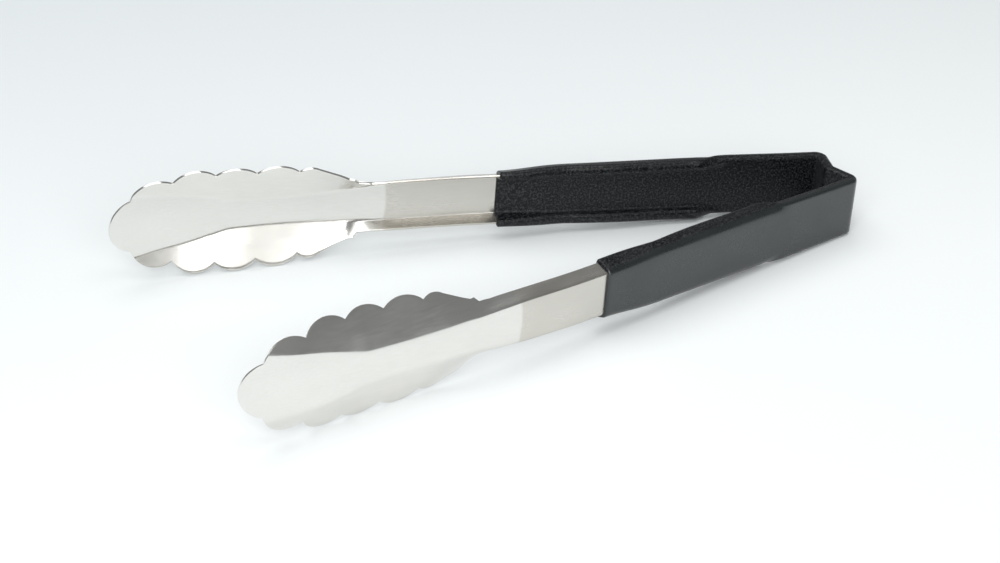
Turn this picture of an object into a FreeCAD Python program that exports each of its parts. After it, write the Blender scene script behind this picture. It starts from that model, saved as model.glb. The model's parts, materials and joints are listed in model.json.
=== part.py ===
import FreeCAD, Part
import math
import os

import Sketcher

# Spring loaded kitchen tongs, millimetres.
#
# One stamped strip is bent into a V and dipped in vinyl at the closed end.
# The strip is cut at its two flex lines, because the flat leaves there are the spring:
#   the bow is the folded back with the rear of both leaves,
#   each arm is the front of a leaf, the channel and the scalloped head.
#
# Object frame: tips towards -X, folded back towards +X, mirror plane XZ, +Z up.
# Arm frame: X runs along the arm from the back corner to the tip, Y points inwards from
# the outer face of the web, Z runs across the strip, and the arm is symmetric about Z = 0.

doc = FreeCAD.newDocument("KitchenTongs")
sheet = doc.addObject("Spreadsheet::Sheet", "Sizes")

DIMENSIONS = {
    "steel_gauge": 0.9,
    "coat_gauge": 1.85,
    "coat_lip": 0.45,
    "coat_edge_round": 2.5,
    "coat_inner_round": 0.9,
    "leaf_half_height": 11.0,
    "splay_angle": 13.67,
    "corner_half_gap": 12.89,
    "corner_round": 2.6,
    "back_lean": 17.72,
    "kink_round": 2.5,
    "kink_centre": -1.967,
    "flex_run": 17.0,
    "knuckle_round": 2.4,
    "knuckle_gap": 0.05,
    "pitch_angle": 2.2746,
    "shift_forward": 147.08,
    "lift": 12.911,
}

# Each station across the arm: run along the arm, inward set of the outer face, half width
# of the flat web, outer bend radius, flare of the wing from the web, half height reached.
STATIONS = {
    "leaf_rear": (14.0, 0.0, 8.0, 40.0, 2.0, 11.0),
    "leaf_front": (42.0, 0.0, 8.0, 40.0, 2.0, 11.4),
    "channel_rear": (54.0, 0.0, 9.25, 2.2, 84.0, 11.68),
    "channel_middle": (110.0, 0.0, 9.25, 1.5, 78.0, 11.25),
    "coat_end": (141.1, 0.0, 7.85, 1.8, 71.0, 11.1),
    "channel_front": (150.0, 0.0, 7.85, 1.8, 71.0, 11.1),
    "neck_rear": (175.0, 1.1, 7.8, 2.2, 69.0, 11.1),
    "neck_front": (192.0, 2.2, 7.3, 2.6, 64.0, 11.1),
    "shoulder_rear": (200.0, 2.9, 6.9, 3.0, 53.0, 12.2),
    "shoulder_front": (208.0, 3.5, 6.6, 3.5, 33.0, 17.5),
    "palm_rear": (217.0, 4.1, 6.4, 4.0, 26.0, 22.0),
    "palm_middle": (232.0, 5.2, 6.2, 5.0, 21.5, 23.5),
    "palm_front": (250.0, 6.9, 6.3, 6.0, 16.0, 23.5),
    "tip_rear": (268.0, 9.1, 6.5, 6.0, 12.0, 23.5),
    "tip_middle": (285.0, 12.6, 6.5, 6.0, 7.0, 23.5),
    "tip_front": (302.0, 18.1, 6.5, 6.0, 3.0, 23.5),
}
FIELDS = ("run", "set", "web", "bend", "flare", "reach")

# Scalloped rim, from the shoulder to the tip: the notch between two lobes as run along the
# arm and half height, with the radius of the lobe in front of it.
NOTCHES = (
    ("notch_rear", 224.1, 18.4, 13.2),
    ("notch_second", 241.3, 19.2, 12.5),
    ("notch_third", 257.8, 19.4, 10.9),
    ("notch_fourth", 274.7, 17.1, 11.5),
    ("notch_front", 291.6, 10.8, 11.14),
)
# Where the rim drops from the last lobe to the flange of the channel, front to rear.
SHOULDER = (
    ("rim_top", 215.9, 18.9),
    ("rim_foot", 203.4, 13.4),
    ("rim_step", 201.2, 13.1),
    ("flange_top", 199.6, 11.6),
)
BLANK = {
    "last_lobe": 6.9,
    "blank_half_height": 32.0,
    "blank_front": 318.0,
    "end_cut": 3.0,
}


def fill_sheet():
    row = 1

    def put(alias, number):
        nonlocal row
        cell = "A%d" % row
        sheet.set(cell, repr(number))
        sheet.setAlias(cell, alias)
        row += 1

    for alias, number in DIMENSIONS.items():
        put(alias, number)
    for station, numbers in STATIONS.items():
        for field, number in zip(FIELDS, numbers):
            put("%s_%s" % (station, field), number)
    for name, run, rise, lobe in NOTCHES:
        put(name + "_run", run)
        put(name + "_rise", rise)
        put(name + "_lobe", lobe)
    for name, run, rise in SHOULDER:
        put(name + "_run", run)
        put(name + "_rise", rise)
    for alias, number in BLANK.items():
        put(alias, number)
    doc.recompute()


def size(alias):
    return float(sheet.get(alias))


def vec(across, along):
    return FreeCAD.Vector(across, along, 0)


def origin_plane(body, role):
    return next(item for item in body.Origin.OriginFeatures if item.Role == role)


def new_body(label):
    body = doc.addObject("PartDesign::Body", label)
    body.Label = label
    return body


def new_sketch(body, name, role, offset_expression=None):
    sketch = body.newObject("Sketcher::SketchObject", name)
    sketch.AttachmentSupport = [(origin_plane(body, role), "")]
    sketch.MapMode = "FlatFace"
    if offset_expression:
        sketch.setExpression("AttachmentOffset.Base.z", offset_expression)
    return sketch


def drive(sketch, index, name, expression):
    sketch.renameConstraint(index, name)
    sketch.setExpression("Constraints." + name, expression)


def add_arc(sketch, centre, start, end):
    """Arc about a centre, counter-clockwise from start to end."""
    circle = Part.Circle(centre, FreeCAD.Vector(0, 0, 1), (start - centre).Length)
    first = math.atan2(start.y - centre.y, start.x - centre.x)
    last = math.atan2(end.y - centre.y, end.x - centre.x)
    return sketch.addGeometry(Part.ArcOfCircle(circle, first, last))


def add_line(sketch, start, end, construction=False):
    return sketch.addGeometry(Part.LineSegment(start, end), construction)


def round_rim(sketch, rim_out, rim_in, wing, walls):
    """Rounded edge of the dipped coat, between the ends of its two walls."""
    radius = size("coat_edge_round")
    half_wall = (rim_out - rim_in).Length / 2
    centre = (rim_out + rim_in) * 0.5 - wing * math.sqrt(radius ** 2 - half_wall ** 2)
    edge = add_arc(sketch, centre, rim_in, rim_out)
    sketch.addConstraint(Sketcher.Constraint("Coincident", edge, 2, walls[0], 2))
    sketch.addConstraint(Sketcher.Constraint("Coincident", edge, 1, walls[1], 1))
    drive(sketch, sketch.addConstraint(Sketcher.Constraint("Radius", edge, radius)),
          "EdgeRound", "Sizes.coat_edge_round")


def half_section(body, name, station, coated):
    """Half of the channel section at one station, from the web's centre line to the rim.

    The sketch's X is the inward direction and its Y is the height above the centre line.
    """
    gauge = size("steel_gauge")
    coat = size("coat_gauge") if coated else 0.0
    wall = gauge + 2 * coat
    base = size(station + "_set") - coat
    web = size(station + "_web")
    bend = size(station + "_bend")
    flare = math.radians(size(station + "_flare"))
    outer = bend + coat
    inner = bend - gauge - coat
    if coated:
        inner = max(inner, size("coat_inner_round"))
    lip = size("coat_lip") if coated else 0.0
    reach = size(station + "_reach") + coat * math.sin(flare) + lip * math.cos(flare)

    wing = vec(math.sin(flare), math.cos(flare))
    inward = vec(math.cos(flare), -math.sin(flare))
    outer_centre = vec(base + outer, web)
    outer_bend_end = outer_centre - inward * outer
    rim_out = outer_bend_end + wing * ((reach - outer_bend_end.y) / wing.y)
    rim_in = rim_out + inward * wall
    fold = web + outer * math.tan(flare / 2) - (wall + inner) * math.tan(flare / 2)
    inner_centre = vec(base + wall + inner, fold)
    inner_bend_end = inner_centre - inward * inner
    inner_bend_start = vec(base + wall, fold)

    sketch = new_sketch(body, name, "YZ_Plane", "Sizes.%s_run" % station)
    web_out = add_line(sketch, vec(base, 0), vec(base, web))
    bend_out = add_arc(sketch, outer_centre, outer_bend_end, vec(base, web))
    wing_out = add_line(sketch, outer_bend_end, rim_out)
    rim = add_line(sketch, rim_out, rim_in, coated)
    wing_in = add_line(sketch, rim_in, inner_bend_end)
    bend_in = add_arc(sketch, inner_centre, inner_bend_end, inner_bend_start)
    web_in = add_line(sketch, inner_bend_start, vec(base + wall, 0))
    middle = add_line(sketch, vec(base + wall, 0), vec(base, 0))

    tangent = (
        (web_out, 2, bend_out, 2),
        (bend_out, 1, wing_out, 1),
        (wing_in, 2, bend_in, 1),
        (bend_in, 2, web_in, 1),
    )
    for first, first_end, second, second_end in tangent:
        sketch.addConstraint(Sketcher.Constraint("Tangent", first, first_end, second, second_end))
    joined = (
        (wing_out, 2, rim, 1),
        (rim, 2, wing_in, 1),
        (web_in, 2, middle, 1),
        (middle, 2, web_out, 1),
    )
    for first, first_end, second, second_end in joined:
        sketch.addConstraint(Sketcher.Constraint("Coincident", first, first_end, second, second_end))
    sketch.addConstraint(Sketcher.Constraint("Vertical", web_out))
    sketch.addConstraint(Sketcher.Constraint("Vertical", web_in))
    sketch.addConstraint(Sketcher.Constraint("PointOnObject", middle, 1, -1))
    sketch.addConstraint(Sketcher.Constraint("PointOnObject", middle, 2, -1))
    sketch.addConstraint(Sketcher.Constraint("Parallel", wing_out, wing_in))
    sketch.addConstraint(Sketcher.Constraint("Perpendicular", wing_out, rim))

    flare_cells = "90 deg - Sizes.%s_flare * 1 deg" % station
    wall_cells = "Sizes.steel_gauge"
    base_cells = "Sizes.%s_set" % station
    outer_cells = "Sizes.%s_bend" % station
    inner_cells = "Sizes.%s_bend - Sizes.steel_gauge" % station
    reach_cells = "Sizes.%s_reach" % station
    if coated:
        wall_cells += " + 2 * Sizes.coat_gauge"
        base_cells += " - Sizes.coat_gauge"
        outer_cells += " + Sizes.coat_gauge"
        inner_cells = "max(%s - Sizes.coat_gauge; Sizes.coat_inner_round)" % inner_cells
        reach_cells += " + Sizes.coat_gauge * sin(Sizes.%s_flare * 1 deg)" % station
        reach_cells += " + Sizes.coat_lip * cos(Sizes.%s_flare * 1 deg)" % station
    measures = (
        ("Base", Sketcher.Constraint("DistanceX", -1, 1, web_out, 1, base), base_cells),
        ("Web", Sketcher.Constraint("DistanceY", -1, 1, web_out, 2, web), "Sizes.%s_web" % station),
        ("BendOut", Sketcher.Constraint("Radius", bend_out, outer), outer_cells),
        ("BendIn", Sketcher.Constraint("Radius", bend_in, inner), inner_cells),
        ("Flare", Sketcher.Constraint("Angle", wing_out, math.pi / 2 - flare), flare_cells),
        ("Reach", Sketcher.Constraint("DistanceY", -1, 1, wing_out, 2, reach), reach_cells),
        ("WebWall", Sketcher.Constraint("DistanceX", middle, 2, middle, 1, wall), wall_cells),
        ("WingWall", Sketcher.Constraint("Distance", rim, wall), wall_cells),
    )
    for label, constraint, expression in measures:
        drive(sketch, sketch.addConstraint(constraint), label, expression)
    if coated:
        round_rim(sketch, rim_out, rim_in, wing, (wing_out, wing_in))
    return sketch


def pin(sketch, name, edge, end, place, cells):
    """Hold one point of an edge at cells of the sheet, on both axes of the sketch."""
    across = Sketcher.Constraint("DistanceX", -1, 1, edge, end, place.x)
    along = Sketcher.Constraint("DistanceY", -1, 1, edge, end, place.y)
    drive(sketch, sketch.addConstraint(across), name + "Across", cells[0])
    drive(sketch, sketch.addConstraint(along), name + "Along", cells[1])


def join(sketch, first, second):
    sketch.addConstraint(Sketcher.Constraint("Coincident", first, 2, second, 1))


def loft(body, kind, name, stations, coated):
    sections = [half_section(body, "%s_%s" % (name, station), station, coated) for station in stations]
    feature = body.newObject("PartDesign::" + kind, name)
    feature.Profile = sections[0]
    feature.Sections = sections[1:]
    feature.Ruled = True
    doc.recompute()
    return feature


def mirror(body, name, features, role):
    feature = body.newObject("PartDesign::Mirrored", name)
    feature.Originals = features
    feature.MirrorPlane = (origin_plane(body, role), [""])
    body.Tip = feature
    doc.recompute()
    return feature


def pocket(body, name, sketch):
    """Cut right through the body on both sides of the sketch."""
    before = body.Shape.Volume
    feature = body.newObject("PartDesign::Pocket", name)
    feature.Profile = sketch
    feature.Midplane = True
    feature.Type = "Length"
    feature.setExpression("Length", "4 * Sizes.blank_half_height")
    body.Tip = feature
    doc.recompute()
    if not body.Shape.Volume < before:
        raise RuntimeError(name + " cut nothing")
    return feature


def scallop_cut(body):
    """Trim the blank to the scalloped rim, the same above and below the centre line."""
    sketch = new_sketch(body, "rim_outline", "XZ_Plane")
    blank = "blank_half_height"
    foot = [(name, name + "_run", name + "_rise", None) for name, _, _ in reversed(SHOULDER)]
    foot[-1] = ("rim_top", "rim_top_run", "rim_top_rise", "last_lobe")
    lobes = [(name, name + "_run", name + "_rise", name + "_lobe") for name, _, _, _ in NOTCHES]
    lower = foot + lobes
    # On the way back along the upper rim, each edge belongs to the point at its rear end.
    edges = [item[3] for item in lower]
    upper = [item[:3] + (edge,) for item, edge in zip(reversed(lower), edges[-2::-1] + [None])]
    corners = [("corner_rear", "flange_top_run", blank, None), ("corner_front", "blank_front", blank, None)]
    outline = [("Lower", -1, item) for item in lower]
    outline += [("Upper", 1, item) for item in upper]
    outline += [("Upper", 1, item) for item in corners]
    outline += [("Lower", -1, item) for item in reversed(corners)]

    places = [vec(size(run), sign * size(rise)) for _, sign, (_, run, rise, _) in outline]
    indices = []
    for start, end, (_, _, item) in zip(places, places[1:] + places[:1], outline):
        if item[3] is None:
            indices.append(add_line(sketch, start, end))
        else:
            radius = size(item[3])
            chord = end - start
            right = vec(chord.y, -chord.x).normalize()
            centre = (start + end) * 0.5 - right * math.sqrt(radius ** 2 - (chord.Length / 2) ** 2)
            indices.append(add_arc(sketch, centre, start, end))
    for first, second in zip(indices, indices[1:] + indices[:1]):
        join(sketch, first, second)
    for index, place, (side, sign, item) in zip(indices, places, outline):
        name, run, rise, radius_alias = item
        label = side + name.title().replace("_", "")
        minus = "-" if sign < 0 else ""
        pin(sketch, label, index, 1, place, ("Sizes." + run, minus + "Sizes." + rise))
        if radius_alias:
            bound = sketch.addConstraint(Sketcher.Constraint("Radius", index, size(radius_alias)))
            drive(sketch, bound, label + "Lobe", "Sizes." + radius_alias)
    return pocket(body, "scalloped_rim", sketch)


def arm_knuckle(body):
    """Round the rear end of the arm about the flex line, in the middle of the sheet."""
    sketch = new_sketch(body, "knuckle_outline", "XY_Plane")
    run = size("flex_run")
    middle = size("steel_gauge") / 2
    radius = size("knuckle_round")
    reach = size("end_cut")
    run_cell = "Sizes.flex_run"
    low = "Sizes.steel_gauge / 2 - Sizes.end_cut"
    high = "Sizes.steel_gauge / 2 + Sizes.end_cut"
    corners = (
        ("FrontLow", vec(run, middle - reach), (run_cell, low)),
        ("RearLow", vec(run - reach, middle - reach), (run_cell + " - Sizes.end_cut", low)),
        ("RearHigh", vec(run - reach, middle + reach), (run_cell + " - Sizes.end_cut", high)),
        ("FrontHigh", vec(run, middle + reach), (run_cell, high)),
    )
    round_start = vec(run, middle + radius)
    round_end = vec(run, middle - radius)
    places = [place for _, place, _ in corners]
    indices = [add_line(sketch, start, end) for start, end in zip(places, places[1:] + [round_start])]
    rounded = add_arc(sketch, vec(run, middle), round_start, round_end)
    closing = add_line(sketch, round_end, places[0])
    indices += [rounded, closing]
    for first, second in zip(indices, indices[1:] + indices[:1]):
        join(sketch, first, second)
    for index, (label, place, cells) in zip(indices, corners):
        pin(sketch, label, index, 1, place, cells)
    pin(sketch, "Centre", rounded, 3, vec(run, middle), (run_cell, "Sizes.steel_gauge / 2"))
    bound = sketch.addConstraint(Sketcher.Constraint("Radius", rounded, radius))
    drive(sketch, bound, "Round", "Sizes.knuckle_round")
    for end, label in ((1, "RoundStart"), (2, "RoundEnd")):
        across = sketch.addConstraint(Sketcher.Constraint("DistanceX", -1, 1, rounded, end, run))
        drive(sketch, across, label, run_cell)
    return pocket(body, "knuckle_end", sketch)


COATED_CHANNEL = ("leaf_rear", "leaf_front", "channel_rear", "channel_middle", "coat_end")
CHANNEL = COATED_CHANNEL + ("channel_front",)
HEAD = ("channel_front", "neck_rear", "neck_front", "shoulder_rear", "shoulder_front", "palm_rear",
        "palm_middle", "palm_front", "tip_rear", "tip_middle", "tip_front")


def arm_steel(label):
    """Leaf front, channel and scalloped head, pressed from one strip."""
    body = new_body(label)
    channel = loft(body, "AdditiveLoft", "channel", CHANNEL, False)
    head = loft(body, "AdditiveLoft", "head", HEAD, False)
    mirror(body, "lower_half", [channel, head], "XY_Plane")
    scallop_cut(body)
    arm_knuckle(body)
    return body


def grip_coat(label):
    """Dipped coat around the leaf front and the rear of the channel, hollow for the steel."""
    body = new_body(label)
    outside = loft(body, "AdditiveLoft", "outside", COATED_CHANNEL, True)
    inside = loft(body, "SubtractiveLoft", "inside", CHANNEL, False)
    mirror(body, "lower_half", [outside, inside], "XY_Plane")
    arm_knuckle(body)
    return body


def bow_path(body, name):
    """Middle line of the sheet from the kink of the back to the left flex line."""
    sketch = new_sketch(body, name, "XY_Plane")
    splay = math.radians(size("splay_angle"))
    lean = math.radians(size("back_lean"))
    middle = size("steel_gauge") / 2
    kink = size("kink_round")
    corner = size("corner_round")
    kink_centre = vec(size("kink_centre"), 0)
    kink_start = kink_centre - vec(kink, 0)
    kink_end = kink_centre + vec(-math.cos(lean), -math.sin(lean)) * kink
    back = vec(math.sin(lean), -math.cos(lean))
    leaf = vec(-math.cos(splay), -math.sin(splay))
    run = size("flex_run")
    flex = vec(-run * math.cos(splay) - middle * math.sin(splay),
               -size("corner_half_gap") - run * math.sin(splay) + middle * math.cos(splay))
    # The two straight lines meet at the virtual corner, and the bend cuts it back.
    gap = flex - kink_end
    turn = back.x * leaf.y - back.y * leaf.x
    along_back = (gap.x * leaf.y - gap.y * leaf.x) / turn
    virtual = kink_end + back * along_back
    cut_back = corner * math.tan(math.acos(back.dot(leaf)) / 2)
    corner_start = virtual - back * cut_back
    corner_end = virtual + leaf * cut_back
    corner_centre = corner_start + vec(back.y, -back.x) * corner

    kink_arc = add_arc(sketch, kink_centre, kink_start, kink_end)
    back_line = add_line(sketch, kink_end, corner_start)
    corner_arc = add_arc(sketch, corner_centre, corner_end, corner_start)
    leaf_line = add_line(sketch, corner_end, flex)
    sketch.addConstraint(Sketcher.Constraint("Tangent", kink_arc, 2, back_line, 1))
    sketch.addConstraint(Sketcher.Constraint("Tangent", back_line, 2, corner_arc, 2))
    sketch.addConstraint(Sketcher.Constraint("Tangent", corner_arc, 1, leaf_line, 1))
    sketch.addConstraint(Sketcher.Constraint("PointOnObject", kink_arc, 1, -1))
    sketch.addConstraint(Sketcher.Constraint("PointOnObject", kink_arc, 3, -1))
    splay_cells = "Sizes.splay_angle * 1 deg"
    flex_x = "-Sizes.flex_run * cos(%s) - Sizes.steel_gauge / 2 * sin(%s)" % (splay_cells, splay_cells)
    flex_y = "-Sizes.corner_half_gap - Sizes.flex_run * sin(%s)" % splay_cells
    flex_y += " + Sizes.steel_gauge / 2 * cos(%s)" % splay_cells
    pin(sketch, "Flex", leaf_line, 2, flex, (flex_x, flex_y))
    measures = (
        ("KinkCentre", Sketcher.Constraint("DistanceX", -1, 1, kink_arc, 3, kink_centre.x),
         "Sizes.kink_centre"),
        ("KinkRound", Sketcher.Constraint("Radius", kink_arc, kink), "Sizes.kink_round"),
        ("CornerRound", Sketcher.Constraint("Radius", corner_arc, corner), "Sizes.corner_round"),
        ("BackLean", Sketcher.Constraint("Angle", back_line, lean - math.pi / 2),
         "Sizes.back_lean * 1 deg - 90 deg"),
        ("Splay", Sketcher.Constraint("Angle", leaf_line, splay - math.pi), "%s - 180 deg" % splay_cells),
    )
    for label, constraint, expression in measures:
        drive(sketch, sketch.addConstraint(constraint), label, expression)
    return sketch


def bow_section(body, name, coated):
    """Section of the strip at the kink: a plain rectangle, or one with rounded coat edges."""
    sketch = new_sketch(body, name, "XZ_Plane")
    coat = size("coat_gauge") if coated else 0.0
    lip = size("coat_lip") if coated else 0.0
    half_wall = size("steel_gauge") / 2 + coat
    centre = size("kink_centre") - size("kink_round")
    half = size("leaf_half_height") + lip
    half_wall_cells = "Sizes.steel_gauge / 2"
    half_cells = "Sizes.leaf_half_height"
    if coated:
        half_wall_cells += " + Sizes.coat_gauge"
        half_cells += " + Sizes.coat_lip"
    centre_cells = "Sizes.kink_centre - Sizes.kink_round"
    corners = (
        ("FrontLow", vec(centre - half_wall, -half), ("%s - (%s)", "-(%s)")),
        ("RearLow", vec(centre + half_wall, -half), ("%s + (%s)", "-(%s)")),
        ("RearHigh", vec(centre + half_wall, half), ("%s + (%s)", "%s")),
        ("FrontHigh", vec(centre - half_wall, half), ("%s - (%s)", "%s")),
    )
    places = [place for _, place, _ in corners]
    indices = []
    for number, (start, end) in enumerate(zip(places, places[1:] + places[:1])):
        if coated and number % 2 == 0:
            radius = size("coat_edge_round")
            outward = vec(0, -1 if number == 0 else 1)
            centre_point = (start + end) * 0.5 - outward * math.sqrt(radius ** 2 - half_wall ** 2)
            indices.append(add_arc(sketch, centre_point, start, end))
            bound = sketch.addConstraint(Sketcher.Constraint("Radius", indices[-1], radius))
            drive(sketch, bound, "EdgeRound%d" % number, "Sizes.coat_edge_round")
        else:
            indices.append(add_line(sketch, start, end))
    for first, second in zip(indices, indices[1:] + indices[:1]):
        join(sketch, first, second)
    for index, (label, place, (across, along)) in zip(indices, corners):
        cells = (across % (centre_cells, half_wall_cells), along % half_cells)
        pin(sketch, label, index, 1, place, cells)
    return sketch


def pipe(body, kind, name, coated):
    path = bow_path(body, name + "_path")
    section = bow_section(body, name + "_section", coated)
    feature = body.newObject("PartDesign::" + kind, name)
    feature.Profile = section
    feature.Spine = (path, ["Edge%d" % (number + 1) for number in range(4)])
    doc.recompute()
    return feature


def bow_knuckles(body):
    """Hollow both ends of the bow about the flex lines, a running gap larger than the arms."""
    sketch = new_sketch(body, "cup_outline", "XY_Plane")
    splay = math.radians(size("splay_angle"))
    middle = size("steel_gauge") / 2
    run = size("flex_run")
    radius = size("knuckle_round") + size("knuckle_gap")
    across = run * math.cos(splay) + middle * math.sin(splay)
    along = size("corner_half_gap") + run * math.sin(splay) - middle * math.cos(splay)
    angle = "Sizes.splay_angle * 1 deg"
    across_cells = "-Sizes.flex_run * cos(%s) - Sizes.steel_gauge / 2 * sin(%s)" % (angle, angle)
    along_cells = "(Sizes.corner_half_gap + Sizes.flex_run * sin(%s)" % angle
    along_cells += " - Sizes.steel_gauge / 2 * cos(%s))" % angle
    for label, sign in (("Left", -1), ("Right", 1)):
        centre = vec(-across, sign * along)
        circle = sketch.addGeometry(Part.Circle(centre, FreeCAD.Vector(0, 0, 1), radius))
        pin(sketch, label, circle, 3, centre, (across_cells, "%d * %s" % (sign, along_cells)))
        bound = sketch.addConstraint(Sketcher.Constraint("Radius", circle, radius))
        drive(sketch, bound, label + "Round", "Sizes.knuckle_round + Sizes.knuckle_gap")
    return pocket(body, "knuckle_cups", sketch)


def bow_steel(label):
    """Folded back and the rear of both leaves."""
    body = new_body(label)
    half = pipe(body, "AdditivePipe", "strip", False)
    mirror(body, "right_half", [half], "XZ_Plane")
    bow_knuckles(body)
    return body


def bow_coat(label):
    """Dipped coat around the bow, hollow for the strip."""
    body = new_body(label)
    outside = pipe(body, "AdditivePipe", "outside", True)
    inside = pipe(body, "SubtractivePipe", "inside", False)
    mirror(body, "right_half", [outside, inside], "XZ_Plane")
    bow_knuckles(body)
    return body


def mirrored_part(label, source):
    part = doc.addObject("Part::Mirroring", label)
    part.Label = label
    part.Source = source
    part.Base = FreeCAD.Vector(0, 0, 0)
    part.Normal = FreeCAD.Vector(0, 1, 0)
    return part


def place_parts(bow_parts, arm_parts):
    """Lie the tongs down: the head's lower lobes and the bow's lower edge touch Z = 0."""
    axis_x = FreeCAD.Vector(1, 0, 0)
    axis_y = FreeCAD.Vector(0, 1, 0)
    axis_z = FreeCAD.Vector(0, 0, 1)
    shift = FreeCAD.Vector(size("shift_forward"), 0, size("lift"))
    lying = FreeCAD.Placement(shift, FreeCAD.Rotation(axis_y, size("pitch_angle")))
    turned = FreeCAD.Rotation(axis_z, 180 + size("splay_angle"))
    flipped = FreeCAD.Rotation(axis_x, 180)
    corner = FreeCAD.Vector(0, -size("corner_half_gap"), 0)
    for part in bow_parts:
        part.Placement = lying
    for part in arm_parts:
        part.Placement = lying * FreeCAD.Placement(corner, turned * flipped)


def write_parts(parts):
    doc.recompute()
    for item in doc.Objects:
        if "Invalid" in item.State or "Error" in item.State:
            raise RuntimeError("%s failed: %s" % (item.Name, item.State))
    for part in parts:
        if part.Shape.isNull() or not part.Shape.isValid():
            raise RuntimeError(part.Label + " has no valid shape")
    os.makedirs("parts", exist_ok=True)
    for part in parts:
        part.Shape.exportStep("parts/%s.step" % part.Label)


fill_sheet()
spring_bow = bow_steel("spring_bow_steel")
back_coat = bow_coat("spring_bow_coat")
left_arm = arm_steel("left_arm_steel")
left_grip = grip_coat("left_grip_coat")
place_parts((spring_bow, back_coat), (left_arm, left_grip))
right_arm = mirrored_part("right_arm_steel", left_arm)
right_grip = mirrored_part("right_grip_coat", left_grip)
write_parts((spring_bow, back_coat, left_arm, left_grip, right_arm, right_grip))
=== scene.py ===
import json
import math

import bmesh
import bpy
import numpy as np
from mathutils import Matrix, Vector


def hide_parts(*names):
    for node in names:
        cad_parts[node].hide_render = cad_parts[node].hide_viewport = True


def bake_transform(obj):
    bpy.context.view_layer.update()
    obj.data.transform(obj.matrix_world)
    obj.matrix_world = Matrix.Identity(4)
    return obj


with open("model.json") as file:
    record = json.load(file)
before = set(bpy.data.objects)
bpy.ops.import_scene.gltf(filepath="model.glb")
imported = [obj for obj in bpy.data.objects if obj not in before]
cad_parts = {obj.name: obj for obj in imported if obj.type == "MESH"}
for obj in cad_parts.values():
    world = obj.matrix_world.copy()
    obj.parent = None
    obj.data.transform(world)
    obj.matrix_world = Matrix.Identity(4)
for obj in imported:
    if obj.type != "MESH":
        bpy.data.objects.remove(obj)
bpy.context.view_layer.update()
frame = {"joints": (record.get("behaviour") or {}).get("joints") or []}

# ---------------------------------------------------------------- sizes, millimetres
# A run is a distance along the strip towards the tip. Run 0 is within half a millimetre of the
# sharp back corner. The splay, the corner's half gap and the coat's end were fitted to the
# photograph.
MM = 0.001
GAUGE = 0.9
SPLAY = math.radians(13.67)
CORNER_HALF_GAP = 12.89
CORNER_ROUND = 2.6
BACK_LEAN = math.radians(17.72)
KINK_ROUND = 2.5
KINK_CENTRE = -1.967
SIDE_NAMES = {-1: "left", 1: "right"}

# The run of the flex line, where an arm's flex joint lies.
FLEX_RUN = 17.0

# The strip's section along the arm: run, inward set of the web, half width of the flat web,
# fold length, slope after the fold and slope at the rim, in degrees.
SECTIONS = (
    (0.0, 0.0, 8.0, 2.2, 0.5, 0.5),
    (41.0, 0.0, 8.0, 2.2, 0.5, 0.5),
    (44.0, 0.0, 8.3, 2.3, 9.0, 9.0),
    (52.0, 0.0, 9.1, 3.0, 76.0, 76.0),
    (56.0, 0.0, 9.25, 3.2, 84.0, 84.0),
    (110.0, 0.0, 9.25, 2.05, 78.0, 78.0),
    (141.0, 0.0, 7.85, 2.25, 71.0, 71.0),
    (150.0, 0.0, 7.85, 2.25, 71.0, 71.0),
    (175.0, 1.1, 7.6, 2.5, 69.0, 69.0),
    (192.0, 2.2, 6.8, 2.8, 61.0, 64.0),
    (200.0, 2.9, 5.9, 3.0, 44.0, 52.0),
    (208.0, 3.5, 5.3, 2.8, 24.0, 32.0),
    (217.0, 4.1, 4.9, 2.5, 20.5, 25.0),
    (232.0, 5.2, 4.7, 2.4, 19.5, 23.0),
    (250.0, 6.8, 5.0, 2.4, 20.5, 23.0),
    (258.0, 7.5, 6.6, 2.6, 21.0, 23.5),
    (268.0, 9.0, 9.0, 2.6, 22.5, 25.0),
    (280.0, 11.45, 10.8, 2.4, 23.0, 25.0),
    (291.0, 14.45, 12.4, 2.2, 22.0, 23.0),
    (300.5, 17.8, 13.0, 2.2, 20.0, 20.0),
)
# Length of wing over which its slope goes from the first to the second, and how many times
# that length the change may run on for.
WING_LENGTH = 12.0
WING_REACH = 1.2
# The most that the web, and the web with its fold, take of the way to the rim near the tip.
WEB_SHARE, FOLD_SHARE = 0.45, 0.75

# Rim of the strip from the leaf to the tip: run, half height, radius of the edge that follows
# (none for a straight edge). The notches between the lobes were fitted to the photograph.
RIM = (
    (14.0, 11.0, None),
    (42.0, 11.4, None),
    (54.0, 11.68, None),
    (110.0, 11.25, None),
    (141.0, 11.1, None),
    (194.0, 11.1, None),
    (199.6, 11.6, None),
    (201.2, 13.1, None),
    (203.4, 13.4, None),
    (215.9, 18.9, 6.9),
    (224.1, 18.4, 13.2),
    (241.3, 19.2, 12.5),
    (257.8, 19.4, 10.9),
    (274.7, 17.1, 11.5),
    (291.6, 10.8, None),
)
HEAD_RIM = RIM[5:]
TIP_ROUND = 11.14
TIP_CENTRE = RIM[-1][0] - math.sqrt(TIP_ROUND ** 2 - RIM[-1][1] ** 2)
RIM_BEVEL = 0.13

# The dipped coat: its thickness, the run from which it thins, its thickness at the front edge,
# the run and rounding of that edge, how far the edge sinks into the steel, and the least
# rounding of its inner fold.
COAT = 1.85
COAT_TAPER_RUN = 118.0
COAT_AT_EDGE = 1.25
COAT_RUN = 141.1
COAT_NOSE = 0.9
COAT_SINK = 0.05
COAT_INNER_ROUND = 1.4
# How far the coat reaches past the edge of the steel, as run and multiple of its thickness. A
# power under 1 makes that lip squarer than a half circle.
LIP_REACH = ((0.0, 0.95), (44.0, 0.9), (58.0, 1.06), (142.0, 1.06))
LIP_POWER = 0.8

# The line where the polish of the head begins: its run on each arm, how strongly it bows, and
# half the width over which it fades.
FINISH_RUN = {-1: 182.3, 1: 187.2}
FINISH_BOW = 0.012
FINISH_FADE = 0.6

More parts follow.
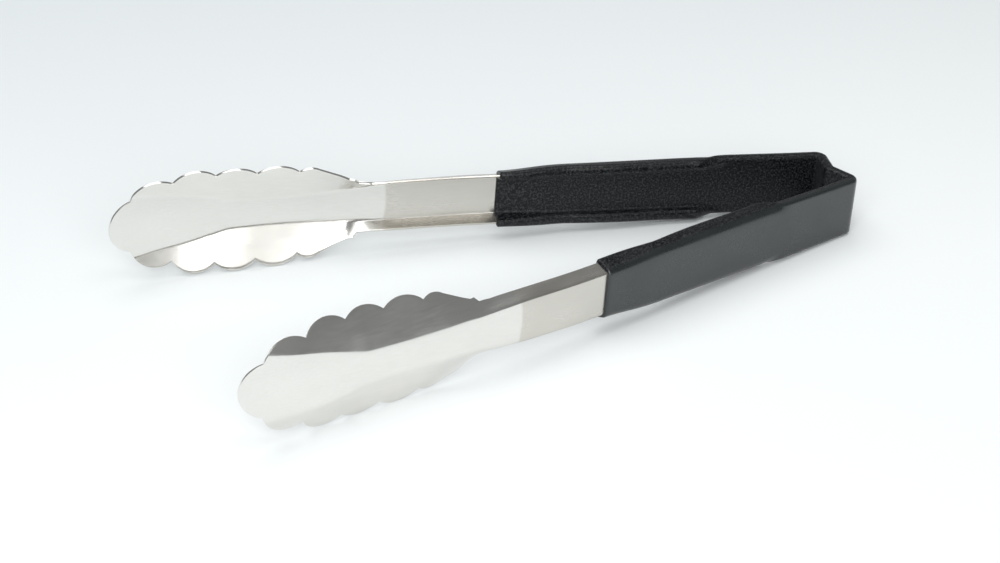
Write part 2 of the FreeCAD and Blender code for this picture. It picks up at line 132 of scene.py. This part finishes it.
# ---------------------------------------------------------------- mesh stations and steps
# Runs where the spacing of the stations changes. The flanges rise in the fine stretch between
# the end of the leaf and the channel, which is 1 mm longer on the coat.
LEAF_END, CHANNEL_START, COAT_CHANNEL_START, NECK_START = 41, 57, 58, 141
# A first short ring at the middle of the back, where the two halves meet.
SEAM_RING = 0.05
LOBE_STATIONS, EDGE_STATIONS, TIP_STATIONS, NOSE_STATIONS = 23, 9, 40, 8
TIP_LAST_TURN = math.radians(86)
# Lengths along the section, from the middle of the web to well past the widest rim.
ARC = np.linspace(0, 36, 721)
WEB_STEPS, FOLD_STEPS, WING_STEPS = 5, 8, 12
COAT_WEB_STEPS, COAT_FOLD_STEPS, COAT_WING_STEPS, LIP_STEPS = 4, 7, 5, 11
SHARP_ANGLE = math.radians(40)

# ---------------------------------------------------------------- materials
# How fine each noise is along the run, inward and up, per millimetre, and the span that most
# of its values lie in.
BRUSHED_SCALE = (0.06, 2.6, 2.6)
CLOUD_SCALE = (0.045, 0.11, 0.11)
WAVE_SCALE = (0.05, 0.09, 0.09)
GRAIN_SCALE = (1.2, 1.2, 1.2)
GLINT_NOISE_SCALE = (1.3, 1.3, 1.3)
DRIFT_SCALE = (0.07, 0.09, 0.09)
FLOOR_SCALE = (3.0, 3.0, 3.0)
NOISE_SPAN = (0.3, 0.7)

# Steel: two tones of arm and of head, how far the brushing darkens and lightens them, the
# roughness and what the brushing and the arm add to it, and the strength and depth in metres
# of the relief.
STEEL_ARM = ((0.60, 0.575, 0.53), (0.68, 0.655, 0.61))
STEEL_HEAD = ((0.75, 0.735, 0.705), (0.81, 0.795, 0.765))
STEEL_STREAKS = (0.97, 1.03)
STEEL_ROUGHNESS = (0.15, 0.21)
BRUSHED_ROUGHNESS = (-0.02, 0.02)
ARM_ROUGHNESS = 0.07
BRUSHED_RELIEF = (0.03, 0.00004)
WAVE_RELIEF = (0.07, 0.0012)

# Vinyl: a lighter tone on the outer face of the web, painted as light, a darker tone elsewhere,
# painted as shade, and painted glints speckled there; where the one passes into the other, as
# inward set; which noise makes a painted glint; the roughness and what the grain adds to it, and
# the grain's depth in metres. The last three pairs are values on the outer face and elsewhere.
VINYL_LIT_OUTSIDE = (0.003, 0.0065, 0.0065)
VINYL_SHADED_INSIDE = (0.001, 0.0013, 0.002)
VINYL_PAINTED_GLINT = (0.035, 0.038, 0.042)
SHADED_INSIDE_FADE = (-1.2, 0.6)
GLINT_SPAN = (0.46, 0.66)
VINYL_ROUGHNESS = (0.26, 0.36)
GRAIN_ROUGHNESS = (-0.05, 0.08)
GRAIN_DEPTH = 0.00015
GRAIN_STRENGTH = (0.15, 0.6)
VINYL_SPECULAR = (0.9, 0.28)
VINYL_SHEEN = (0.25, 0.04)

# ---------------------------------------------------------------- floor, light and camera
# The floor goes from its near tone to its far tone between two distances in metres: lighter near
# the camera and darker far off, painted light and shade. A noise makes that a little uneven. The
# camera was fitted to the photograph.
FLOOR_HALF = 6.0
FLOOR_LIT_TO_SHADED_TONES = ((0.93, 0.96, 0.97), (0.71, 0.765, 0.78))
FLOOR_SHADE_FADE = (-0.05, 0.6)
FLOOR_UNEVEN = (-0.02, 0.02)
WORLD_TONE = (0.97, 1.0, 1.0)
WORLD_STRENGTH = 0.24
CAMERA_PLACE = Vector((-0.418942, -0.754348, 0.479109))
CAMERA_AIM = Vector((-0.010343, 0.000819, 0.004671))
CAMERA_LENS = 89.40
CAMERA_ROLL = math.radians(2.2403)
CAMERA_CLIP = 0.05
# Name, place, aim, width, height, watts and colour of each soft lamp.
LAMPS = (
    ("overhead", (-0.2, 0.2, 1.6), (-0.2, 0.2, 0), 1.8, 2.2, 20.0, (1.0, 1.0, 1.0)),
    ("front_left", (-1.1, -1.3, 1.1), (0, 0, 0), 1.0, 1.0, 15.0, (1.0, 1.0, 1.0)),
    ("front_box", (-0.37, -1.65, 0.82), (-0.05, 0.05, 0.02), 1.1, 1.0, 11.0, (1.0, 1.0, 0.99)),
)


# ---------------------------------------------------------------- the tongs' own frame
flex = {joint["name"]: joint for joint in frame["joints"]}["right_flex"]
AXIS = Vector(flex["axis"])
PITCH = math.atan2(AXIS.x, AXIS.z)
FLEX_IN_TONGS = Vector((
    -FLEX_RUN * math.cos(SPLAY) - GAUGE / 2 * math.sin(SPLAY),
    CORNER_HALF_GAP + FLEX_RUN * math.sin(SPLAY) - GAUGE / 2 * math.cos(SPLAY),
    0,
)) * MM
LYING = Matrix.Rotation(PITCH, 4, "Y")
LYING.translation = Vector(flex["pos_m"]) - LYING @ FLEX_IN_TONGS


# ---------------------------------------------------------------- the bent strip's path
def heading(angle):
    return np.array((math.cos(angle), math.sin(angle)))


def inward_of(direction):
    """The inside of the tongs is to the right of the path from the back to the left tip."""
    return np.array((direction[1], -direction[0]))


BACK_HEADING = BACK_LEAN - math.pi / 2
LEAF_HEADING = SPLAY - math.pi
TURN = BACK_HEADING - LEAF_HEADING
KINK_MIDDLE = np.array((KINK_CENTRE, 0.0))
KINK_END = KINK_MIDDLE + inward_of(heading(BACK_HEADING)) * KINK_ROUND
LEFT_FLEX = np.array((FLEX_IN_TONGS.x, -FLEX_IN_TONGS.y)) / MM


def corner_ends():
    """Where the corner bend leaves the back's straight line, and where it meets the leaf's."""
    back = heading(BACK_HEADING)
    leaf = heading(LEAF_HEADING)
    gap = LEFT_FLEX - KINK_END
    along = (gap[0] * leaf[1] - gap[1] * leaf[0]) / (back[0] * leaf[1] - back[1] * leaf[0])
    corner = KINK_END + back * along
    tangent = CORNER_ROUND * math.tan(TURN / 2)
    return corner - back * tangent, corner + leaf * tangent


CORNER_START, CORNER_END = corner_ends()
CORNER_MIDDLE = CORNER_START + inward_of(heading(BACK_HEADING)) * CORNER_ROUND
CORNER_RUN = FLEX_RUN - np.linalg.norm(LEFT_FLEX - CORNER_END)
BACK_RUN = CORNER_RUN - CORNER_ROUND * TURN
KINK_RUN = BACK_RUN - np.linalg.norm(CORNER_START - KINK_END)
CENTRE_RUN = KINK_RUN - KINK_ROUND * BACK_LEAN


def path(run):
    """Middle of the sheet and the inward direction at a run, on the left half."""
    if run >= CORNER_RUN:
        direction = heading(LEAF_HEADING)
        middle = CORNER_END + direction * (run - CORNER_RUN)
    elif run >= BACK_RUN:
        direction = heading(BACK_HEADING - (run - BACK_RUN) / CORNER_ROUND)
        middle = CORNER_MIDDLE - inward_of(direction) * CORNER_ROUND
    elif run >= KINK_RUN:
        direction = heading(BACK_HEADING)
        middle = KINK_END + direction * (run - KINK_RUN)
    else:
        direction = heading((run - CENTRE_RUN) / KINK_ROUND - math.pi / 2)
        middle = KINK_MIDDLE + inward_of(direction) * KINK_ROUND
    return middle, inward_of(direction)


# ---------------------------------------------------------------- the strip's section
def smooth_table(rows, column):
    """A smooth curve through one column of a table, with no overshoot between its rows."""
    x = np.array([row[0] for row in rows])
    y = np.array([row[column] for row in rows])
    steps = np.diff(y) / np.diff(x)
    slopes = np.zeros(len(x))
    for k in range(1, len(x) - 1):
        if steps[k - 1] * steps[k] > 0:
            slopes[k] = 2 * steps[k - 1] * steps[k] / (steps[k - 1] + steps[k])
    slopes[-1] = steps[-1]

    def curve(run):
        k = int(np.clip(np.searchsorted(x, run) - 1, 0, len(x) - 2))
        span = x[k + 1] - x[k]
        f = min(max((run - x[k]) / span, 0.0), 1.0)
        rise = f * f * (3 - 2 * f) * (y[k + 1] - y[k])
        start = f * (1 - f) ** 2 * span * slopes[k]
        end = f * f * (1 - f) * span * slopes[k + 1]
        return y[k] + rise + start - end

    return curve


lip_reach = smooth_table(LIP_REACH, 1)
inward_set, web_half, fold_length, fold_slope, rim_slope = (
    smooth_table(SECTIONS, column) for column in range(1, 6))


def rim_half_height(run):
    """Half height of the strip's edge: leaf, flange, scalloped lobes and round tip."""
    if run <= RIM[0][0]:
        return RIM[0][1]
    if run >= RIM[-1][0]:
        return math.sqrt(max(TIP_ROUND ** 2 - (run - TIP_CENTRE) ** 2, 0))
    for (x0, y0, radius), (x1, y1, _) in zip(RIM, RIM[1:]):
        if run <= x1:
            break
    if radius is None:
        return y0 + (y1 - y0) * (run - x0) / (x1 - x0)
    chord = np.array((x1 - x0, y1 - y0))
    length = np.linalg.norm(chord)
    normal = np.array((-chord[1], chord[0])) / length
    drop = math.sqrt(radius ** 2 - (length / 2) ** 2)
    centre = np.array((x0 + x1, y0 + y1)) / 2 - normal * drop
    return centre[1] + math.sqrt(radius ** 2 - (run - centre[0]) ** 2)


def half_section(run):
    """(inward, height) of the outer face, from the web's centre line to the rim."""
    web, fold = web_half(run), fold_length(run)
    first, last = math.radians(fold_slope(run)), math.radians(rim_slope(run))
    folded = np.clip((ARC - web) / fold, 0, 1)
    beyond = np.clip((ARC - web - fold) / WING_LENGTH, 0, WING_REACH)
    slope = first * folded ** 2 * (3 - 2 * folded) + (last - first) * beyond
    between = (slope[1:] + slope[:-1]) / 2
    height = np.concatenate(([0], np.cumsum(np.cos(between)))) * ARC[1]
    inward = np.concatenate(([0], np.cumsum(np.sin(between)))) * ARC[1]
    rim = np.interp(rim_half_height(run), height, ARC)
    web_end = min(web, WEB_SHARE * rim)
    fold_end = min(web + fold, FOLD_SHARE * rim)
    along = np.concatenate((
        np.linspace(0, web_end, WEB_STEPS, endpoint=False),
        np.linspace(web_end, fold_end, FOLD_STEPS, endpoint=False),
        np.linspace(fold_end, rim, WING_STEPS),
    ))
    return np.interp(along, ARC, inward) + inward_set(run), np.interp(along, ARC, height)


def coat_outline(run, cover):
    """The coat's closed outline around the strip's section, as (inward, height) points."""
    slope = math.radians(fold_slope(run))
    web = web_half(run)
    bend = fold_length(run) / slope
    half_turn = math.tan(slope / 2)
    wing = np.array((math.sin(slope), math.cos(slope)))
    inward = np.array((math.cos(slope), -math.sin(slope)))
    start = np.array((bend * (1 - math.cos(slope)), web + bend * math.sin(slope)))
    rim = start + wing * (rim_half_height(run) - start[1]) / wing[1]

    def face(offset, radius):
        """One face of the coat: the flat web, the fold and the straight wing."""
        tangent = web + (bend - offset - radius) * half_turn
        middle = np.array((offset + radius, tangent))
        turns = np.linspace(0, slope, COAT_FOLD_STEPS)
        fold = middle + radius * np.column_stack((-np.cos(turns), np.sin(turns)))
        heights = np.linspace(0, tangent, COAT_WEB_STEPS, endpoint=False)
        flat = np.column_stack((np.full(COAT_WEB_STEPS, offset), heights))
        shares = np.linspace(1 / COAT_WING_STEPS, 1, COAT_WING_STEPS)
        straight = fold[-1] + np.outer(shares, rim + inward * offset - fold[-1])
        return np.concatenate((flat, fold, straight))

    outer = face(-cover, bend + cover)
    inner = face(GAUGE + cover, max(bend - GAUGE - cover, COAT_INNER_ROUND))
    turns = np.linspace(0, math.pi, LIP_STEPS)[1:-1]
    squared = np.sign(np.cos(turns)) * np.abs(np.cos(turns)) ** LIP_POWER
    across = -squared * (GAUGE / 2 + cover)
    over = np.sin(turns) ** LIP_POWER * cover * lip_reach(run)
    lip = rim + inward * GAUGE / 2 + np.outer(across, inward) + np.outer(over, wing)
    upper = np.concatenate((outer, lip, inner[::-1]))
    return np.concatenate((upper, upper[-2:0:-1] * np.array((1, -1))))


def coat_cover(run):
    """Thickness of the dipped coat, thinner towards its front edge."""
    f = min(max((run - COAT_TAPER_RUN) / (COAT_RUN - COAT_TAPER_RUN), 0), 1)
    return COAT + (COAT_AT_EDGE - COAT) * f * f * (3 - 2 * f)


# ---------------------------------------------------------------- meshes
def place(run, inward, height):
    """Points of a section at a run, in the tongs' own frame, millimetres."""
    middle, direction = path(run)
    return np.column_stack((middle + np.outer(inward - GAUGE / 2, direction), height))


def build_mesh(name, grid, side, material, bevelled=None):
    """A closed mesh from rows of closed outlines. side is -1 left, +1 right. bevelled tells
    from the indices of an edge's ends whether it is bevelled."""
    rows, columns, _ = grid.shape
    points = grid.reshape(-1, 3) * np.array((1, -side, 1))
    placed = points * MM @ np.array(LYING.to_3x3()).T + np.array(LYING.translation)
    mesh = bpy.data.meshes.new(name)
    work = bmesh.new()
    verts = [work.verts.new(p) for p in placed]
    for i in range(rows - 1):
        for j in range(columns):
            k = (j + 1) % columns
            a, b = i * columns, (i + 1) * columns
            work.faces.new((verts[a + j], verts[a + k], verts[b + k], verts[b + j]))
    work.faces.new(verts[:columns])
    work.faces.new(verts[-columns:])
    bmesh.ops.recalc_face_normals(work, faces=work.faces)
    work.verts.index_update()
    if bevelled:
        edges = [e for e in work.edges if bevelled(*(v.index for v in e.verts))]
        bmesh.ops.bevel(work, geom=edges, offset=RIM_BEVEL * MM, offset_type="OFFSET",
                        segments=2, profile=0.5, affect="EDGES", clamp_overlap=True)
    work.to_mesh(mesh)
    work.free()
    mesh.materials.append(material)
    mesh.shade_smooth()
    mesh.set_sharp_from_angle(angle=SHARP_ANGLE)
    add_rest_place(mesh, side)
    obj = bpy.data.objects.new(name, mesh)
    bpy.context.scene.collection.objects.link(obj)
    return obj


def add_rest_place(mesh, side):
    """For the materials, each vertex keeps its run, inward set and height at rest, in mm, and
    its distance past the line where the polish of the head begins."""
    spots = np.array([v.co for v in mesh.vertices]) - np.array(LYING.translation)
    tongs = spots @ np.array(LYING.to_3x3()) / MM * np.array((1, -side, 1))
    direction = heading(LEAF_HEADING)
    from_corner = tongs[:, :2] - CORNER_END
    run = from_corner @ direction + CORNER_RUN
    rest = np.column_stack((run, from_corner @ inward_of(direction), tongs[:, 2]))
    mesh.attributes.new("rest", "FLOAT_VECTOR", "POINT").data.foreach_set("vector", rest.ravel())
    finish = rest[:, 0] - FINISH_RUN[side] - FINISH_BOW * rest[:, 2] ** 2
    mesh.attributes.new("finish", "FLOAT", "POINT").data.foreach_set("value", finish)


def spaced(*spans):
    """Runs from spans of start, end and number."""
    return np.unique(np.round(np.concatenate([np.linspace(*span) for span in spans]), 4))


def strip_stations():
    """Runs along the strip, close together at bends, lobes and the tip."""
    runs = [spaced(
        (CENTRE_RUN, CENTRE_RUN + SEAM_RING, 2),
        (CENTRE_RUN, KINK_RUN, 5),
        (KINK_RUN, BACK_RUN, 6),
        (BACK_RUN, CORNER_RUN, 12),
        (CORNER_RUN, LEAF_END, 14),
        (LEAF_END, CHANNEL_START, 20),
        (CHANNEL_START, NECK_START, 18),
        (NECK_START, HEAD_RIM[0][0], 34),
    )]
    for (start, _, radius), (end, _, _) in zip(HEAD_RIM, HEAD_RIM[1:]):
        turns = np.linspace(0, math.pi, LOBE_STATIONS if radius else EDGE_STATIONS)
        runs.append(start + (end - start) * (1 - np.cos(turns)) / 2)
    first = math.asin((RIM[-1][0] - TIP_CENTRE) / TIP_ROUND)
    turns = np.linspace(first, TIP_LAST_TURN, TIP_STATIONS)
    runs.append(TIP_CENTRE + TIP_ROUND * np.sin(turns))
    return np.unique(np.round(np.concatenate(runs), 4))


def steel_strip(side, material):
    """Half of the stamped strip, from the centre of the back to one tip."""
    runs = strip_stations()
    rows = []
    for run in runs:
        inward, height = half_section(run)
        inward = np.append(inward[:0:-1], inward)
        height = np.append(-height[:0:-1], height)
        rows.append(place(run, inward, height))
    outer = np.array(rows)
    normal = np.cross(np.gradient(outer, axis=1), np.gradient(outer, axis=0))
    normal /= np.linalg.norm(normal, axis=2, keepdims=True)
    if np.dot(normal[-1, outer.shape[1] // 2, :2], inward_of(heading(LEAF_HEADING))) < 0:
        normal = -normal
    grid = np.append(outer, (outer + normal * GAUGE)[:, ::-1], axis=1)
    columns = grid.shape[1]
    rims = (0, columns // 2 - 1, columns // 2, columns - 1)
    last = (len(runs) - 1) * columns

    def on_rim(a, b):
        """Along the rim or round the tip, but not through the sheet's thickness."""
        ends = {a % columns, b % columns}
        along = len(ends) == 1 and a % columns in rims
        tip = min(a, b) >= last and ends not in (set(rims[::3]), set(rims[1:3]))
        return along or tip

    return build_mesh("steel_strip_" + SIDE_NAMES[side], grid, side, material, on_rim)


def vinyl_coat(side, material):
    """Half of the dipped coat, from the centre of the back to its front edge."""
    runs = spaced(
        (CENTRE_RUN, CENTRE_RUN + SEAM_RING, 2),
        (CENTRE_RUN, KINK_RUN, 6),
        (KINK_RUN, BACK_RUN, 8),
        (BACK_RUN, CORNER_RUN, 18),
        (CORNER_RUN, LEAF_END, 22),
        (LEAF_END, COAT_CHANNEL_START, 35),
        (COAT_CHANNEL_START, COAT_RUN - COAT_NOSE, 60),
    )
    stations = [(run, coat_cover(run)) for run in runs]
    for turn in np.linspace(0, math.pi / 2, NOSE_STATIONS)[1:]:
        sunk = (COAT_AT_EDGE + COAT_SINK) * (1 - math.cos(turn))
        stations.append((COAT_RUN - COAT_NOSE * (1 - math.sin(turn)), COAT_AT_EDGE - sunk))
    rows = []
    for run, cover in stations:
        inward, height = coat_outline(run, cover).T
        rows.append(place(run, inward, height))
    return build_mesh("vinyl_coat_" + SIDE_NAMES[side], np.array(rows), side, material)


# ---------------------------------------------------------------- shader helpers
def node(tree, kind, inputs=None, **settings):
    """A shader node. An input is a number, a colour or another node's output."""
    item = tree.nodes.new("ShaderNode" + kind)
    for key, value in settings.items():
        setattr(item, key, value)
    for key, value in (inputs or {}).items():
        if isinstance(value, bpy.types.NodeSocket):
            tree.links.new(value, item.inputs[key])
        else:
            item.inputs[key].default_value = value
    return item


def noise(tree, spot, scale, detail=3.0):
    scaled = node(tree, "Mapping", {"Vector": spot, "Scale": scale}).outputs["Vector"]
    settings = {"Vector": scaled, "Scale": 1.0, "Detail": detail}
    return node(tree, "TexNoise", settings).outputs["Fac"]


def ramp(tree, factor, low, high, start, end):
    """A number that goes from start to end while factor goes from low to high."""
    return node(tree, "MapRange", {"Value": factor, "From Min": low, "From Max": high,
                                   "To Min": start, "To Max": end}).outputs["Result"]


def spread(tree, texture, ends):
    """A number that a noise moves between two ends."""
    return ramp(tree, texture, *NOISE_SPAN, *ends)


def blend_colours(tree, factor, first, second):
    mix = node(tree, "Mix", {0: factor}, data_type="RGBA")
    for index, colour in ((6, first), (7, second)):
        if isinstance(colour, bpy.types.NodeSocket):
            tree.links.new(colour, mix.inputs[index])
        else:
            mix.inputs[index].default_value = (*colour, 1)
    return mix.outputs[2]


def math_node(tree, operation, *values):
    return node(tree, "Math", dict(enumerate(values)), operation=operation).outputs[0]


def relief(tree, height, strength, distance, normal=None):
    """The normal of a bump, on top of another bump's normal if there is one."""
    settings = {"Height": height, "Strength": strength, "Distance": distance}
    if normal:
        settings["Normal"] = normal
    return node(tree, "Bump", settings).outputs["Normal"]


def new_material(name, values):
    material = bpy.data.materials.new(name)
    material.use_nodes = True
    shader = material.node_tree.nodes["Principled BSDF"]
    for socket, value in values.items():
        shader.inputs[socket].default_value = value
    return material, material.node_tree, shader


def wire(tree, shader, outputs):
    for socket, output in outputs.items():
        tree.links.new(output, shader.inputs[socket])


# ---------------------------------------------------------------- materials of the tongs
def steel_material():
    """Faintly brushed along the strip, paler and smoother past the line of the finish."""
    material, tree, shader = new_material("satin_steel", {"Metallic": 1.0})
    rest = node(tree, "Attribute", attribute_name="rest").outputs["Vector"]
    finish = node(tree, "Attribute", attribute_name="finish").outputs["Fac"]
    brushed = noise(tree, rest, BRUSHED_SCALE)
    cloud = noise(tree, rest, CLOUD_SCALE, 2.0)
    wave = noise(tree, rest, WAVE_SCALE, 1.0)
    head = ramp(tree, finish, -FINISH_FADE, FINISH_FADE, 0.0, 1.0)
    arm_tone = blend_colours(tree, cloud, *STEEL_ARM)
    head_tone = blend_colours(tree, cloud, *STEEL_HEAD)
    tone = blend_colours(tree, head, arm_tone, head_tone)
    streak = spread(tree, brushed, STEEL_STREAKS)
    streaked = node(tree, "VectorMath", {0: tone, "Scale": streak}, operation="SCALE")
    rough = math_node(tree, "ADD", spread(tree, cloud, STEEL_ROUGHNESS),
                      spread(tree, brushed, BRUSHED_ROUGHNESS))
    rough = math_node(tree, "ADD", rough, ramp(tree, head, 0.0, 1.0, ARM_ROUGHNESS, 0.0))
    normal = relief(tree, brushed, *BRUSHED_RELIEF)
    normal = relief(tree, wave, *WAVE_RELIEF, normal)
    wire(tree, shader, {"Base Color": streaked.outputs[0], "Roughness": rough, "Normal": normal})
    return material


def vinyl_material():
    """Painted lighter, as lit, and smooth on the outer face of the web; painted darker, as
    shade, duller and speckled with painted glints on the flanges and inside.
    """
    material, tree, shader = new_material("dipped_vinyl", {"Sheen Roughness": 0.35})
    rest = node(tree, "Attribute", attribute_name="rest").outputs["Vector"]
    inward = node(tree, "SeparateXYZ", {0: rest}).outputs["Y"]
    inside = ramp(tree, inward, *SHADED_INSIDE_FADE, 0.0, 1.0)
    grain = noise(tree, rest, GRAIN_SCALE, 4.0)
    glint_noise = noise(tree, rest, GLINT_NOISE_SCALE)
    drift = noise(tree, rest, DRIFT_SCALE, 2.0)
    # Painted glints: pale specks on the flanges and inside stand for light caught by the grain.
    painted_glint = math_node(tree, "MULTIPLY", ramp(tree, glint_noise, *GLINT_SPAN, 0.0, 1.0), inside)
    # Painted light and shade: the outer face of the web takes a lighter tone, the flanges and
    # inside a darker one.
    tone = blend_colours(tree, inside, VINYL_LIT_OUTSIDE, VINYL_SHADED_INSIDE)
    rough = math_node(tree, "ADD", spread(tree, drift, VINYL_ROUGHNESS),
                      spread(tree, grain, GRAIN_ROUGHNESS))
    specular, sheen, strength = (ramp(tree, inside, 0.0, 1.0, *pair)
                                 for pair in (VINYL_SPECULAR, VINYL_SHEEN, GRAIN_STRENGTH))
    wire(tree, shader, {
        "Base Color": blend_colours(tree, painted_glint, tone, VINYL_PAINTED_GLINT),
        "Roughness": rough,
        "Specular IOR Level": specular,
        "Sheen Weight": sheen,
        "Normal": relief(tree, grain, strength, GRAIN_DEPTH),
    })
    return material


steel = steel_material()
vinyl = vinyl_material()
for side in SIDE_NAMES:
    pieces = (
        (steel_strip(side, steel), "steel", ("arm_steel", "spring_bow_steel")),
        (vinyl_coat(side, vinyl), "vinyl", ("grip_coat", "spring_bow_coat")),
    )
    for piece, slot, (arm_node, bow_node) in pieces:
        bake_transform(piece)
        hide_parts(SIDE_NAMES[side] + "_" + arm_node, bow_node)


# ---------------------------------------------------------------- floor, light and camera
def stage_floor():
    mesh = bpy.data.meshes.new("floor")
    corners = [(-FLOOR_HALF, -FLOOR_HALF, 0), (FLOOR_HALF, -FLOOR_HALF, 0),
               (FLOOR_HALF, FLOOR_HALF, 0), (-FLOOR_HALF, FLOOR_HALF, 0)]
    mesh.from_pydata(corners, [], [(0, 1, 2, 3)])
    values = {"Roughness": 0.9, "Specular IOR Level": 0.1}
    material, tree, shader = new_material("pale_floor", values)
    spot = node(tree, "TexCoord").outputs["Object"]
    far = node(tree, "SeparateXYZ", {0: spot}).outputs["Y"]
    uneven = spread(tree, noise(tree, spot, FLOOR_SCALE, 2.0), FLOOR_UNEVEN)
    # Painted light and shade: the floor is lighter near the camera and darker far off.
    shade = math_node(tree, "ADD", ramp(tree, far, *FLOOR_SHADE_FADE, 0.0, 1.0), uneven)
    wire(tree, shader, {"Base Color": blend_colours(tree, shade, *FLOOR_LIT_TO_SHADED_TONES)})
    mesh.materials.append(material)
    floor = bpy.data.objects.new("floor", mesh)
    bpy.context.scene.collection.objects.link(floor)


def area_light(name, spot, aim, width, height, watts, colour):
    data = bpy.data.lights.new(name, "AREA")
    data.shape = "RECTANGLE"
    data.size, data.size_y = width, height
    data.energy = watts
    data.color = colour
    lamp = bpy.data.objects.new(name, data)
    lamp.location = spot
    lamp.rotation_euler = (Vector(aim) - Vector(spot)).to_track_quat("-Z", "Y").to_euler()
    bpy.context.scene.collection.objects.link(lamp)


def photo_camera():
    back = (CAMERA_PLACE - CAMERA_AIM).normalized()
    level_right = Vector((0, 0, 1)).cross(back).normalized()
    level_up = back.cross(level_right)
    right = level_right * math.cos(CAMERA_ROLL) + level_up * math.sin(CAMERA_ROLL)
    up = back.cross(right)
    data = bpy.data.cameras.new("camera")
    data.lens = CAMERA_LENS
    data.clip_start = CAMERA_CLIP
    camera = bpy.data.objects.new("camera", data)
    turned = Matrix((right, up, back)).transposed().to_4x4()
    camera.matrix_world = Matrix.Translation(CAMERA_PLACE) @ turned
    bpy.context.scene.collection.objects.link(camera)
    bpy.context.scene.camera = camera


def world_light():
    world = bpy.data.worlds.new("studio")
    world.use_nodes = True
    background = world.node_tree.nodes["Background"]
    background.inputs["Color"].default_value = (*WORLD_TONE, 1)
    background.inputs["Strength"].default_value = WORLD_STRENGTH
    bpy.context.scene.world = world


bpy.context.scene.view_settings.view_transform = "Standard"
stage_floor()
world_light()
for lamp in LAMPS:
    area_light(*lamp)
photo_camera()
